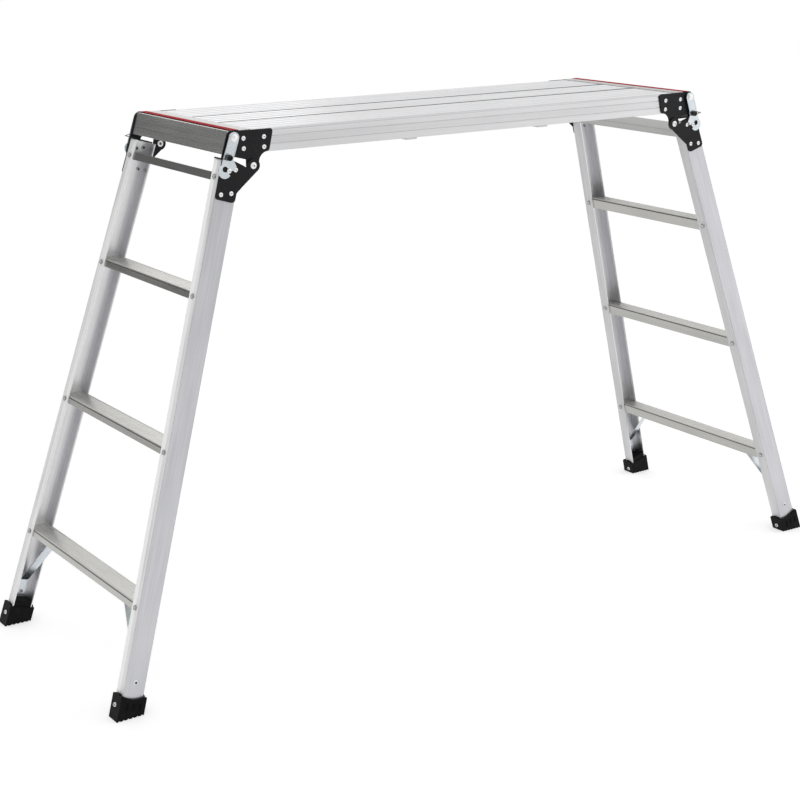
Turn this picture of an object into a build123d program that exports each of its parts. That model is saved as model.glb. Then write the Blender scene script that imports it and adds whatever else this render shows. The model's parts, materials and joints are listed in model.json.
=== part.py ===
from build123d import *

import math
import os

# Folding aluminium work platform: a plank deck on two ladder-like leg frames that fold under it.
# X runs along the deck, Y across it and Z up, with the origin on the ground under the deck's middle.
# Each corner is modelled once, at the left end (-X) on the near side (-Y), and mirrored to the others.

# Deck sizes, in millimetres
deck_height = 1120.0
deck_length = 1200.0
deck_width = 400.0
plank_drop = 0.4
side_wall_depth = 45.2
side_box_width = 30.0
centre_plank_width = 104.0
plank_depth = 22.0
plank_skin = 2.2
plank_joint = 9.0
tongue_drop = 6.0
tongue_gap = 0.4
plank_edge = 4.0
side_groove = 1.0
end_beam_width = 38.0
end_beam_depth = 44.0
end_beam_reach = 10.0
end_beam_wall = 2.5
end_plate = 6.0
end_joint = 2.0
strip_ledge = 6.6
strip_inset = 0.8
strip_width = 16.0
strip_depth = 5.0
strip_proud = 2.0
strip_ridges = 4
cross_bar_place = 175.0
cross_bar_width = 26.0
cross_bar_wall = 2.5
cross_bar_tab = 4.0
cross_bar_tab_inset = 3.0

# Leg frame sizes; the splay is measured in the plane of the frame
leg_tilt = 17.0
leg_splay = 5.09
pivot_inset = 41.0
pivot_drop = 72.0
stile_offset = 24.3
stile_width = 45.0
stile_flange = 29.0
stile_wall = 2.0
stile_top_drop = 4.0
first_tread = 219.0
rung_pitch = 296.5
rung_count = 3
rung_front = 15.0
rung_wall = 1.8
top_bar_drop = 30.5
top_bar_depth = 16.0

# Hinge brackets, pins and rivets
bracket_plate = 3.0
bracket_reach = 48.0
bracket_low_reach = 38.0
bracket_lobe = 14.0
bracket_neck = 22.0
bracket_corner = 6.0
rivet_row = 46.0
rivet_pitch = 20.0
rivet_edge = 15.5
rivet_setback = 11.0
leg_bracket_foot = 81.0
leg_bracket_bend = 45.0
leg_bracket_elbow = 16.0
leg_bracket_corner = 8.0
leg_bracket_overhang = 0.2
leg_bracket_arm_slope = 25.0
leg_rivet_pitch = 23.2
leg_rivet_rise = 14.0
upper_rivet_place = 36.8
upper_rivet_drop = 16.5
pivot_shank = 5.0
pivot_head = 6.8
pivot_head_height = 3.0
pivot_washer = 6.5
pivot_washer_height = 2.0
rivet_shank = 2.4
rivet_head = 4.6
rivet_head_height = 1.8
rivet_tail = 3.3
rivet_tail_height = 1.6

# Lock lever, catch pin and spring
lever_pivot_drop = 13.7
lever_pivot_inset = -2.3
lever_boss = 13.5
shelf_flare = 18.0
lever_length = 67.5
lever_lean = 19.0
lever_plate = 2.0
lever_half_width = 11.0
lever_hook = 14.5
lever_notch = 5.6
lever_notch_side = -1.0
lever_notch_rise = 3.8
lever_ear_reach = 21.5
lever_ear_top = 51.5
lever_ear_low = 60.5
lever_shoulder = 41.0
lever_strap = 1.0
lever_strap_length = 33.0
lever_rim = 2.0
lever_rim_height = 0.5
lever_ratio = 0.6
lever_pin_shank = 4.0
lever_pin_head = 7.5
lever_pin_collar = 7.0
catch_side = 8.6
catch_rise = 3.0
catch_shank = 3.5
catch_head = 4.8
throat_room = 0.6
throat_fold_step = 3.0
throat_steps = 6
spring_place = 40.0
spring_post = 3.2
spring_post_height = 4.5
spring_radius = 5.2
spring_wire = 0.8
spring_pitch = 2.3
spring_turns = 2.625
spring_arcs = 11
spring_long_leg = 20.0
spring_short_leg = 13.0

# Braces under the lowest rung, and rubber feet
brace_strap = 2.5
brace_width = 18.0
brace_tab = 20.0
brace_rise = 59.0
brace_reach = 122.0
brace_stand = 28.0
foot_wall = 6.0
foot_inner_wall = 2.0
foot_height = 31.0
foot_sole = 5.0
foot_core_rise = 14.0
foot_tab_rise = 3.0
foot_tab_corner = 8.0
foot_dip = 4.5
foot_recesses = 3
foot_recess_width = 7.0
foot_recess_depth = 1.4
foot_recess_pitch = 14.0
foot_tooth_pitch = 10.0
foot_tooth_size = 3.2
foot_rivet_drop = 22.0

# Clearances: between riveted pieces, at running fits, at the stop, and round rivets
seat_fit = 0.2
running_fit = 0.05
stop_fit = 0.1
hinge_gap = 0.3
lever_gap = 0.4
hole_fit = 0.08
cut_over = 0.5

# Places worked out from the sizes
deck_top = deck_height - strip_proud
plank_top = deck_top - plank_drop
plank_bottom = plank_top - side_wall_depth
beam_bottom = deck_top - end_beam_depth
half_length = deck_length / 2
half_width = deck_width / 2
plank_end = half_length - end_beam_width - end_joint
pivot_x = half_length - pivot_inset
pivot_z = deck_height - pivot_drop
lean = math.radians(leg_tilt)
splay = math.radians(leg_splay)
bracket_face = half_width + bracket_plate
web_face = bracket_face + hinge_gap
leg_bracket_face = web_face + bracket_plate
lever_back = leg_bracket_face + lever_gap
lever_face = lever_back + lever_plate
lever_front = lever_face + lever_strap
flange_out = stile_offset + stile_width
stile_middle = stile_offset + stile_width / 2
strip_front = -half_length - end_beam_reach + strip_ledge
strip_back = strip_front + strip_width
strip_seat = deck_top - strip_depth
strip_length = deck_width - 2 * strip_inset
rung_out = flange_out - stile_wall - seat_fit
rung_in = stile_offset + stile_wall + seat_fit
stile_end = (pivot_z + stile_offset * math.sin(lean)) / math.cos(lean) - foot_sole
lever_x = pivot_inset - lever_pivot_inset
lever_z = pivot_drop - lever_pivot_drop
reach = 3 * (deck_height + deck_length)

# The leg's rest place, with the pivot axis at the local origin and the frame upright in local Z
at_leg = Pos(-pivot_x, 0, pivot_z) * Rot(0, leg_tilt, 0)
# The stile's own place in the leg, leaning across by the splay, with the outside of its web at local Y 0
at_stile = Pos(0, -web_face, -leg_bracket_bend) * Rot(-leg_splay, 0, 0)


def web_at(drop):
    """Distance from the middle to the outside of a stile's web, this far below the pivot."""
    return web_face + (drop - leg_bracket_bend) * math.tan(splay)


def from_leg(x, z):
    """A point of the leg at rest, measured from the pivot in the deck's own directions."""
    across = x * math.cos(lean) + z * math.sin(lean)
    up = z * math.cos(lean) - x * math.sin(lean)
    return across, up


def to_leg(across, up):
    """The same point in the leg's own directions."""
    x = across * math.cos(lean) - up * math.sin(lean)
    z = across * math.sin(lean) + up * math.cos(lean)
    return x, z


def tread_at(height, x):
    """Local height, in the leg, of a level tread at this height above the ground."""
    return (height - pivot_z) / math.cos(lean) + x * math.tan(lean)


def outline(points):
    return make_face(Polyline(*points, close=True))


def near_plate(sketch, inside, thickness):
    """A plate drawn in X and Z whose inside face is this far from the middle, on the near side."""
    return extrude(Plane.XZ.offset(inside) * sketch, thickness)


def rivet(shank, grip, head, head_height, tail, tail_height):
    """A set rivet along Z: domed head above Z 0, shank through the grip, and a flat tail."""
    dome = (head**2 + head_height**2) / (2 * head_height)
    ball = Pos(0, 0, head_height - dome) * Sphere(dome)
    solid = ball & Pos(0, 0, dome) * Cylinder(2 * dome, 2 * dome)
    solid += Pos(0, 0, -grip / 2) * Cylinder(shank, grip)
    solid += Pos(0, 0, -grip - tail_height / 2) * Cylinder(tail, tail_height)
    return solid


def small_rivet(grip):
    return rivet(rivet_shank, grip, rivet_head, rivet_head_height, rivet_tail, rivet_tail_height)


def hole(shank, grip, fit):
    """What a rivet's shank takes out of the pieces that it goes through."""
    return Pos(0, 0, -grip / 2) * Cylinder(shank + fit, grip + 2 * cut_over)


def fused(pieces):
    solid = Part()
    for piece in pieces:
        solid += piece
    return solid


# Rivet places of one corner, each with its grip; the head looks along the place's own Z
rung_grip = stile_wall + seat_fit + rung_wall
outwards = Rot(90, 0, 0)
to_end = Rot(0, -90, 0)
to_middle = Rot(0, 90, 0)


def tread_heights():
    return [first_tread + i * rung_pitch for i in range(rung_count)]


def bar_levels():
    """Local heights of the rivets in the outer and the inner flange, for the top bar and each rung."""
    middle = -top_bar_drop - top_bar_depth / 2
    levels = [(middle, middle)]
    for height in tread_heights():
        bottom = tread_at(height, -rung_out) - rung_front
        outer = (tread_at(height, -rung_out) + bottom) / 2
        inner = (tread_at(height, -rung_in) + bottom) / 2
        levels.append((outer, inner))
    return levels


def rung_rivets():
    places = []
    for outer, inner in bar_levels():
        outer_y = -(web_at(-outer) - stile_flange / 2)
        inner_y = -(web_at(-inner) - stile_flange / 2)
        places.append((Pos(-flange_out, outer_y, outer) * to_end, rung_grip))
        places.append((Pos(-stile_offset, inner_y, inner) * to_middle, rung_grip))
    return places


def bracket_rivets():
    """Rivets of the leg bracket: a level pair at its foot, square to the web, and one higher up."""
    low = -(leg_bracket_foot - leg_bracket_bend - leg_rivet_rise)
    grip = bracket_plate + stile_wall + seat_fit
    places = []
    for along in (-leg_rivet_pitch / 2, leg_rivet_pitch / 2):
        x, z = to_leg(along, 0)
        place = Pos(x - stile_middle, -bracket_plate - seat_fit, low + z)
        places.append((at_stile * place * outwards, grip))
    inside = web_at(upper_rivet_drop) - stile_wall / math.cos(splay)
    slant = rivet_tail * math.tan(splay)
    upper = Pos(-upper_rivet_place, -leg_bracket_face, -upper_rivet_drop)
    places.append((upper * outwards, leg_bracket_face - inside + slant))
    return places


def lowest_rung_bottom():
    return tread_at(first_tread, -rung_out) - rung_front


def brace_low_drop():
    return stile_end - brace_rise


def brace_rivets():
    drop = brace_low_drop()
    local = -(drop - leg_bracket_bend) / math.cos(splay)
    low = at_stile * Pos(-stile_middle, 0, local) * outwards
    top_y = brace_top_y() - brace_tab / 2
    high = Pos(-stile_middle, -top_y, lowest_rung_bottom() - brace_strap - seat_fit) * Rot(180, 0, 0)
    return [
        (low, stile_wall + brace_strap + seat_fit),
        (high, brace_strap + rung_wall + seat_fit),
    ]


def brace_top_y():
    return web_at(brace_low_drop()) - brace_reach + brace_tab


def foot_rivets():
    drop = stile_end - foot_height + foot_rivet_drop
    y = -(web_at(drop) - stile_flange / 2)
    grip = foot_wall + stile_wall + seat_fit
    outer = Pos(-flange_out - foot_wall, y, -drop) * to_end
    inner = Pos(foot_wall - stile_offset, y, -drop) * to_middle
    return [(outer, grip), (inner, grip)]


def leg_rivet_places():
    return rung_rivets() + bracket_rivets() + brace_rivets() + foot_rivets()


def catch_place():
    """Where the catch pin is in the leg, so that it lies in the mouth of the lever's hook."""
    down = lever_length - catch_rise
    turn = math.radians(lever_lean)
    across = catch_side * math.cos(turn) - down * math.sin(turn) - lever_x
    up = lever_z - catch_side * math.sin(turn) - down * math.cos(turn)
    return to_leg(across, up)


def catch_pin():
    """The headed pin that the lever hooks round, set through the leg bracket and the web."""
    x, z = catch_place()
    inside = web_at(-z) - stile_wall / math.cos(splay)
    slant = catch_head * math.tan(splay)
    head_seat = lever_face + lever_gap
    place = Pos(x, -head_seat, z) * outwards
    return place, head_seat - inside + slant


def leg_holes():
    place, grip = catch_pin()
    cuts = [at * hole(rivet_shank, depth, hole_fit) for at, depth in leg_rivet_places()]
    cuts.append(place * hole(catch_shank, grip, hole_fit))
    return cuts


# Deck planks
def ribs(places, top, depth):
    """Upright ribs under a plank's skin."""
    drawing = Sketch()
    for y in places:
        drawing += Pos(y, top - depth / 2) * Rectangle(plank_skin, depth)
    return drawing


def edge_plank():
    """Near edge plank: a deep hollow side box, a ribbed panel, and a sunk tongue that closes the joint."""
    inner = -(centre_plank_width / 2 + plank_joint)
    panel = inner + half_width - side_box_width
    box_y = -half_width + side_box_width / 2
    box_z = plank_top - side_wall_depth / 2
    box = Rectangle(side_box_width, side_wall_depth)
    box -= Rectangle(side_box_width - 2 * plank_skin, side_wall_depth - 2 * plank_skin)
    section = Pos(box_y, box_z) * box
    skin_width = panel + plank_skin
    skin_y = inner - skin_width / 2
    section += Pos(skin_y, plank_top - plank_skin / 2) * Rectangle(skin_width, plank_skin)
    rib_places = [inner - plank_skin / 2 - i * panel / 3 for i in range(3)]
    section += ribs(rib_places, plank_top, plank_depth)
    tongue = plank_joint - tongue_gap
    section += Pos(inner + tongue / 2, plank_top - tongue_drop) * Rectangle(tongue, plank_skin)
    section = fillet(section.vertices().sort_by_distance((-half_width, plank_top, 0))[0], plank_edge)
    for band in (1, 2):
        groove_z = plank_top - band * side_wall_depth / 3
        section -= Pos(-half_width, groove_z) * Rectangle(2 * side_groove, side_groove)
    plank = Plane.YZ.offset(-plank_end) * section
    return extrude(plank, 2 * plank_end)


def centre_plank():
    half = centre_plank_width / 2
    section = Pos(0, plank_top - plank_skin / 2) * Rectangle(centre_plank_width, plank_skin)
    step = (centre_plank_width - plank_skin) / 3
    rib_places = [plank_skin / 2 - half + i * step for i in range(4)]
    section += ribs(rib_places, plank_top, plank_depth)
    return extrude(Plane.YZ.offset(-plank_end) * section, 2 * plank_end)


def end_face(z):
    """X of the left end beam's sloping face at this height."""
    return -half_length - end_beam_reach - (deck_top - z) * math.tan(lean)


def end_beam():
    """Left end beam: a hollow bar with a sloping outer face, closed at its ends by a welded plate."""
    inner = -half_length + end_beam_width
    wall = end_beam_wall
    outside = outline(
        [
            (end_face(beam_bottom), beam_bottom),
            (inner, beam_bottom),
            (inner, deck_top),
            (end_face(deck_top), deck_top),
        ]
    )
    roof = strip_seat - wall
    slant = wall / math.cos(lean)
    hollow = outline(
        [
            (end_face(beam_bottom + wall) + slant, beam_bottom + wall),
            (inner - wall, beam_bottom + wall),
            (inner - wall, roof),
            (end_face(roof) + slant, roof),
        ]
    )
    beam = near_plate(outside, -half_width, deck_width)
    beam -= near_plate(hollow, end_plate - half_width, deck_width - 2 * end_plate)
    pocket_width = strip_width + 2 * seat_fit
    pocket_length = deck_width + 2 * cut_over
    pocket_place = Pos((strip_front + strip_back) / 2, 0, deck_top)
    return beam - pocket_place * Box(pocket_width, pocket_length, 2 * strip_depth)


def edge_strip():
    """Left red edge strip: a soft nosing with ridges along its top, let into the end beam."""
    pitch = strip_width / strip_ridges
    points = [(strip_back, strip_seat), (strip_front, strip_seat)]
    for i in range(strip_ridges):
        left = strip_front + i * pitch
        points.append((left, deck_height - strip_proud / 2))
        points.append((left + pitch / 4, deck_height))
        points.append((left + 3 * pitch / 4, deck_height))
    points.append((strip_back, deck_height - strip_proud / 2))
    return near_plate(outline(points), -strip_length / 2, strip_length)


def cross_bar():
    """Left cross bar: a square tube under the planks, with a flat tab under each side box."""
    inner = half_width - side_box_width - seat_fit
    bottom = plank_bottom - cross_bar_tab
    top = plank_top - plank_depth
    middle = (top + bottom) / 2
    depth = top - bottom
    tube = Pos(-cross_bar_place, 0, middle) * Box(cross_bar_width, 2 * inner, depth)
    bore_width = cross_bar_width - 2 * cross_bar_wall
    bore_depth = depth - cross_bar_wall - cross_bar_tab
    bore_z = bottom + cross_bar_tab + bore_depth / 2
    tube -= Pos(-cross_bar_place, 0, bore_z) * Box(bore_width, 2 * inner, bore_depth)
    tab_length = 2 * (half_width - cross_bar_tab_inset)
    tab_z = bottom + cross_bar_tab / 2
    return tube + Pos(-cross_bar_place, 0, tab_z) * Box(cross_bar_width, tab_length, cross_bar_tab)


# Deck bracket, near left corner
def deck_rivet_places():
    """Four rivets in two columns, each place measured in the deck."""
    row_z = deck_top - rivet_edge
    first_x = -pivot_x + bracket_low_reach - rivet_setback
    grip = bracket_plate + plank_skin
    places = []
    for column, depth in ((0, grip), (1, bracket_plate + end_plate)):
        for row in (0, 1):
            x = first_x - column * rivet_row
            z = row_z - row * rivet_pitch
            places.append((Pos(x, -bracket_face, z) * outwards, depth))
    return places


def deck_bracket():
    """Black plate on the side of the deck: pivot lobe, lever boss, and a bent shelf over the stile."""
    top = deck_top - pivot_z
    low = beam_bottom - pivot_z
    stop = stop_fit - stile_top_drop
    boss_x = -lever_x * math.cos(lean) + -lever_z * math.sin(lean)
    outer = boss_x - lever_boss
    inner = outer + (flange_out - stile_offset) / 2
    boss = Pos(-lever_x, lever_z) * Circle(lever_boss)
    notch = from_leg(inner + bracket_lobe / 3, bracket_lobe / 2)
    plate = outline(
        [
            (-lever_x, top),
            (-lever_x, lever_z),
            from_leg(outer, lever_z * math.cos(lean) - lever_x * math.sin(lean)),
            from_leg(outer, stop),
            from_leg(inner, stop),
            notch,
            (-bracket_lobe, notch[1] - bracket_lobe / 2),
            (-bracket_lobe, 0),
            (bracket_lobe, 0),
            (bracket_lobe, low),
            (bracket_low_reach, low),
            (bracket_reach, top),
        ]
    )
    for corner in ((bracket_low_reach, low, 0), (bracket_reach, top, 0)):
        plate = fillet(plate.vertices().sort_by_distance(corner)[0], bracket_corner)
    half_neck = bracket_neck / 2
    neck = Rectangle(bracket_neck, bracket_neck) - Pos(half_neck, -half_neck) * Circle(bracket_neck)
    neck = Pos(bracket_lobe + half_neck, low - half_neck) * neck
    sketch = plate + boss + Circle(bracket_lobe) + neck
    sketch -= Circle(pivot_shank + hole_fit)
    sketch -= Pos(-lever_x, lever_z) * Circle(lever_pin_shank + hole_fit)
    bracket = Pos(-pivot_x, 0, pivot_z) * near_plate(sketch, half_width, bracket_plate)
    free_edge = stile_flange - bracket_face
    shelf = outline(
        [
            (outer, -bracket_face),
            (inner, -bracket_face),
            (inner + shelf_flare, free_edge),
            (outer, free_edge),
        ]
    )
    bracket += at_leg * Pos(0, 0, stop) * extrude(shelf, bracket_plate)
    for place, grip in deck_rivet_places():
        bracket -= place * hole(rivet_shank, grip, hole_fit)
    return bracket


def deck_rivets():
    """The four bracket rivets, and the lever's headed pin with its spacing collar."""
    rivets = [place * small_rivet(grip) for place, grip in deck_rivet_places()]
    head_seat = lever_front + lever_gap
    pin_length = head_seat - half_width - running_fit
    collar = lever_back - lever_gap - bracket_face
    shank = lever_pin_shank
    pin = rivet(shank, pin_length, lever_pin_head, rivet_head_height, shank, running_fit)
    pin += Pos(0, 0, bracket_face + collar / 2 - head_seat) * Cylinder(lever_pin_collar, collar)
    pin_place = Pos(-pivot_x - lever_x, -head_seat, pivot_z + lever_z)
    return fused(rivets) + pin_place * outwards * pin


def pivot_pin():
    """Large hinge rivet: a domed head outside the leg bracket and a washer inside the deck bracket."""
    seat = leg_bracket_face + hinge_gap
    grip = seat - half_width + hinge_gap
    pin = rivet(pivot_shank, grip, pivot_head, pivot_head_height, pivot_washer, pivot_washer_height)
    return Pos(-pivot_x, -seat, pivot_z) * outwards * pin


# Leg frame, near left corner, in the leg's own place
def channel(fit, low, high):
    """The stile's open channel, grown by a fit, between two depths below the pivot."""
    outer_x = stile_width + 2 * fit
    outer_y = stile_flange + 2 * fit
    section = Pos(-stile_middle, stile_flange / 2) * Rectangle(outer_x, outer_y)
    bore_x = stile_width - 2 * stile_wall - 2 * fit
    bore_y = stile_flange - stile_wall
    section -= Pos(-stile_middle, stile_wall + fit + bore_y) * Rectangle(bore_x, 2 * bore_y)
    bar = at_stile * Pos(0, 0, -reach / 2) * extrude(section, reach)
    keep = Pos(-stile_middle, -web_face, -(low + high) / 2) * Box(reach, reach, low - high)
    return bar & keep


def stile(cuts):
    bar = channel(0, stile_end, stile_top_drop)
    for cut in cuts:
        bar -= cut
    return bar


def between_webs():
    """The space between the webs of one leg frame."""
    room = stile_wall / math.cos(splay) + seat_fit
    top = web_at(0) - room
    low = web_at(deck_height * 2) - room
    shape = outline([(-top, 0), (top, 0), (low, -deck_height * 2), (-low, -deck_height * 2)])
    return extrude(Plane.YZ.offset(-flange_out) * shape, stile_width)


def rung(height, room, cuts):
    """A hollow rung with a level tread and an underside square to the stiles."""
    wall = rung_wall
    left_top = tread_at(height, -rung_out)
    bottom = left_top - rung_front
    skin = wall / math.cos(lean)
    section = outline(
        [
            (-rung_out, bottom),
            (-rung_in, bottom),
            (-rung_in, tread_at(height, -rung_in)),
            (-rung_out, left_top),
        ]
    )
    section -= outline(
        [
            (wall - rung_out, bottom + wall),
            (-rung_in - wall, bottom + wall),
            (-rung_in - wall, tread_at(height, -rung_in - wall) - skin),
            (wall - rung_out, tread_at(height, wall - rung_out) - skin),
        ]
    )
    return bar_across(section, room, cuts)


def top_bar(room, cuts):
    width = rung_out - rung_in
    middle = Pos(-stile_middle, -top_bar_drop - top_bar_depth / 2)
    section = middle * Rectangle(width, top_bar_depth)
    section -= middle * Rectangle(width - 2 * rung_wall, top_bar_depth - 2 * rung_wall)
    return bar_across(section, room, cuts)


def bar_across(section, room, cuts):
    bar = near_plate(section, -deck_width, 2 * deck_width) & room
    for cut in cuts:
        bar -= cut
    return bar


def leg_bracket(cuts):
    """Black bent plate on the stile's web, with an arm to the pivot; it is upright above its bend."""
    outer = -flange_out - leg_bracket_overhang
    inner = -stile_offset
    slope = math.radians(leg_bracket_arm_slope)
    arm = bracket_lobe * math.cos(slope)
    arm_low = -bracket_lobe * math.sin(slope)
    elbow = -(leg_bracket_bend + leg_bracket_elbow)
    share = (leg_bracket_bend + arm_low) / (arm_low - elbow)
    bend_x = arm + (inner - arm) * share
    upper = outline(
        [
            (outer, -leg_bracket_bend),
            (outer, -stile_top_drop),
            (outer + stile_top_drop, 0),
            (-stile_middle, 0),
            (inner, -stile_top_drop - hinge_gap),
            (-bracket_lobe, -bracket_lobe / 2),
            (0, -bracket_lobe / 2),
            (0, arm_low),
            (arm, arm_low),
            (bend_x, -leg_bracket_bend),
        ]
    )
    upper += Circle(bracket_lobe)
    upper -= Circle(pivot_shank + running_fit)
    foot = -(leg_bracket_foot - leg_bracket_bend)
    lower = outline(
        [
            (outer, 0),
            (bend_x, 0),
            (inner, -leg_bracket_elbow),
            (inner - seat_fit, foot),
            (outer, foot),
        ]
    )
    for x in (outer, inner - seat_fit):
        corner = lower.vertices().sort_by_distance((x, foot, 0))[0]
        lower = fillet(corner, leg_bracket_corner)
    plate = near_plate(upper, web_face, bracket_plate)
    plate += at_stile * near_plate(lower, seat_fit, bracket_plate)
    for cut in cuts:
        plate -= cut
    return plate


def leg_rivets():
    """All the rivets set in one stile, and the catch pin."""
    rivets = [place * small_rivet(grip) for place, grip in leg_rivet_places()]
    place, grip = catch_pin()
    pin = rivet(catch_shank, grip, catch_head, rivet_head_height, catch_head, rivet_tail_height)
    return fused(rivets) + place * pin


def thick_path(points, thickness):
    """A bent strap's edge view: the path, and the same path moved over to its left."""
    moved = []
    for i, point in enumerate(points):
        here = Vector(*point)
        before = (here - Vector(*points[max(i - 1, 0)])) if i else Vector(*points[1]) - here
        after = (Vector(*points[i + 1]) - here) if i + 1 < len(points) else before
        first = Vector(-before.Y, before.X).normalized()
        second = Vector(-after.Y, after.X).normalized()
        middle = (first + second).normalized()
        moved.append(here + middle * (thickness / middle.dot(first)))
    return outline([*points, *[(p.X, p.Y) for p in reversed(moved)]])


def brace(cuts):
    """Zinc strap: a tab on the inside of the web, a slanting run, and a tab under the lowest rung."""
    inside = stile_wall / math.cos(splay) + seat_fit
    low = brace_low_drop()
    roof = lowest_rung_bottom() - seat_fit
    top_y = brace_top_y()
    half = brace_tab / 2
    path = [
        (-web_at(low + half) + inside, -low - half),
        (-web_at(low - brace_stand) + inside, -low + brace_stand),
        (-top_y, roof),
        (-top_y + brace_tab, roof),
    ]
    edge = thick_path(list(reversed(path)), brace_strap)
    strap = extrude(Plane.YZ.offset(-stile_middle - brace_width / 2) * edge, brace_width)
    for cut in cuts:
        strap -= cut
    return strap


def foot(cuts):
    """Rubber boot on the stile's end: cup, inner core, two tabs, side recesses and a toothed sole."""
    top = -(stile_end - foot_height - leg_bracket_bend) / math.cos(splay)
    wide = stile_width + 2 * foot_wall
    depth = foot_height + foot_sole + wide
    deep = stile_flange + foot_wall + foot_inner_wall
    deep_y = (stile_flange + foot_inner_wall - foot_wall) / 2
    cup = Pos(-stile_middle, deep_y, top - depth / 2) * Box(wide, deep, depth)
    dip_radius = (stile_width**2 / 4 + foot_dip**2) / (2 * foot_dip)
    dip = Pos(-stile_middle, -foot_wall, top + dip_radius - foot_dip) * Rot(90, 0, 0)
    cup -= dip * Cylinder(dip_radius, 2 * foot_wall)
    core_x = stile_width - 2 * stile_wall - 2 * seat_fit
    core_y = stile_flange - stile_wall - seat_fit
    core_z = foot_core_rise + foot_height / 2
    core_place = Pos(-stile_middle, stile_wall + seat_fit + core_y / 2, top + foot_core_rise - core_z / 2)
    cup += core_place * Box(core_x, core_y, core_z)
    tab_height = foot_tab_rise + foot_height / 2
    tab = Rectangle(stile_flange - 2 * stile_wall, tab_height)
    tab = fillet(tab.vertices().group_by(Axis.Y)[-1], foot_tab_corner)
    tab = Pos(stile_flange / 2, top + foot_tab_rise - tab_height / 2) * tab
    for side in (-flange_out - foot_wall, -stile_offset):
        cup += extrude(Plane.YZ.offset(side) * tab, foot_wall)
    for i in range(foot_recesses):
        x = -stile_middle + (i - (foot_recesses - 1) / 2) * foot_recess_pitch
        place = Pos(x, -foot_wall, top - foot_height / 2 - foot_dip)
        cup -= place * Box(foot_recess_width, 2 * foot_recess_depth, foot_height / 2)
    boot = at_stile * cup - channel(seat_fit, stile_end + seat_fit, stile_end - 2 * foot_height)
    for cut in cuts:
        boot -= cut
    for place, grip in foot_rivets():
        pocket = Cylinder(rivet_tail + seat_fit, rivet_tail_height + 2 * seat_fit)
        boot -= place * Pos(0, 0, -grip - rivet_tail_height / 2) * pocket
    boot = at_leg * boot
    boot -= Pos(0, 0, -reach / 2) * Box(2 * reach, reach, reach)
    sole = boot.bounding_box()
    teeth = int((sole.max.X - sole.min.X) / foot_tooth_pitch)
    for i in range(teeth):
        x = sole.max.X - (i + 0.5) * foot_tooth_pitch
        boot -= Pos(x, 0, 0) * Rot(0, 45, 0) * Box(foot_tooth_size, deck_width * 2, foot_tooth_size)
    return boot


# Lock lever, near left corner
def turned(point, angle):
    """A point of X and Z turned about the origin, from X towards Z."""
    x, z = point
    return x * math.cos(angle) - z * math.sin(angle), x * math.sin(angle) + z * math.cos(angle)


def seen_from_lever(place, fold):
    """A point of the leg, seen from the lever, when the leg has folded and the lever has followed."""
    point = turned(from_leg(*place), fold)
    from_pivot = (point[0] + lever_x, point[1] - lever_z)
    return turned(from_pivot, fold * lever_ratio)


def slot_between(first, second, radius):
    run = Vector(*second) - Vector(*first)
    middle = (Vector(*second) + Vector(*first)) / 2
    angle = math.degrees(math.atan2(run.Y, run.X))
    return Pos(middle.X, middle.Y) * Rot(0, 0, angle) * SlotCenterToCenter(run.length, 2 * radius)


def lever():
    """Zinc lock lever: proud strap with rims, hook and ear, with a throat along the pin's way out."""
    long_strap = Pos(0, -lever_length / 2) * Rectangle(2 * lever_half_width, lever_length)
    hook = long_strap + Circle(lever_half_width) + Pos(0, -lever_length) * Circle(lever_hook)
    hook += outline(
        [
            (0, -lever_shoulder),
            (lever_half_width, -lever_shoulder),
            (lever_ear_reach, -lever_ear_top),
            (lever_ear_reach, -lever_ear_low),
            (0, -lever_length),
        ]
    )
    notch = (lever_notch_side, lever_notch_rise - lever_length)
    hook -= Pos(*notch) * Circle(lever_notch)
    hook -= slot_between(notch, (catch_side, catch_rise - lever_length), catch_shank + throat_room)
    strap = Pos(0, -lever_strap_length / 2) * Rectangle(2 * lever_half_width, lever_strap_length)
    strap += Circle(lever_half_width)
    pin_hole = Circle(lever_pin_shank + running_fit)
    plate = near_plate(hook - pin_hole, lever_back, lever_plate)
    plate += near_plate(strap - pin_hole, lever_face, lever_strap)
    tray = Pos(0, -lever_half_width - lever_length / 2)
    tray *= Rectangle(2 * (lever_half_width - lever_rim), lever_length)
    plate -= near_plate(tray, lever_front - lever_rim_height, lever_rim_height)
    post = Pos(0, -lever_face - spring_post_height / 2, -spring_place) * outwards
    plate += post * Cylinder(spring_post, spring_post_height)
    plate = Rot(0, lever_lean, 0) * plate
    step = math.radians(throat_fold_step)
    upper_rivet = (-upper_rivet_place, -upper_rivet_drop)
    for place, radius in ((catch_place(), catch_shank), (upper_rivet, rivet_head)):
        way = [seen_from_lever(place, i * step) for i in range(throat_steps + 1)]
        for first, second in zip(way, way[1:]):
            slot = slot_between(first, second, radius + throat_room)
            plate -= near_plate(slot, lever_back - cut_over, lever_plate + 2 * cut_over)
    return Pos(-pivot_x - lever_x, 0, pivot_z + lever_z) * plate


def biarc(start, start_way, end, end_way):
    """Two arcs that meet smoothly and leave each end along its given direction."""
    across = end - start
    both = start_way + end_way
    turn = 2 * (1 - start_way.dot(end_way))
    along = across.dot(both)
    size = (math.sqrt(along**2 + turn * across.dot(across)) - along) / turn
    first_corner = start + start_way * size
    second_corner = end - end_way * size
    meeting = (first_corner + second_corner) / 2
    meeting_way = (second_corner - first_corner).normalized()
    return [
        TangentArc(start, meeting, tangent=start_way),
        TangentArc(meeting, end, tangent=meeting_way),
    ]


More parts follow.
